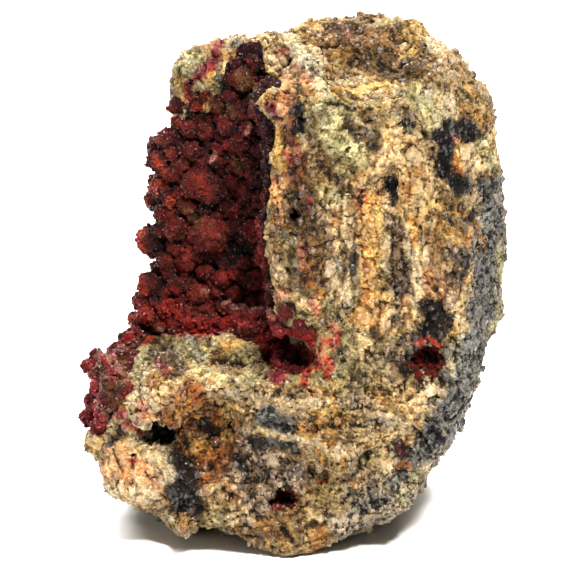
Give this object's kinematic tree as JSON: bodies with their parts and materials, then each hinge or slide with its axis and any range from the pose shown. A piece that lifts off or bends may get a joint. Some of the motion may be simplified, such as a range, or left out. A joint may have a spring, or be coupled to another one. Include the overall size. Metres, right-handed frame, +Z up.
{
  "type": "roselite specimen",
  "caption": "Mineral specimen: a rough dolomite and quartz matrix with a deep corner hollow lined by a dark red botryoidal roselite crust, standing on a flat base.",
  "frame": {"origin": "under the middle of the specimen's bounding box, on the flat that it stands on", "axes": "+Z up, along the tallest extent; -Y is the front, where the hollow and the main fracture face are; +X to the right seen from the front"},
  "size_m": [0.0363, 0.0267, 0.0426],
  "materials": {
    "host_rock": "rough dolomite and quartz with rusty, grey-green and black patches",
    "roselite": "dark red sparkling crystal crust"
  },
  "bodies": {
    "root": {"host_rock": "host_rock", "roselite_crust": "roselite", "right_vug_roselite": "roselite", "low_vug_roselite": "roselite"}
  },
  "joints": []
}
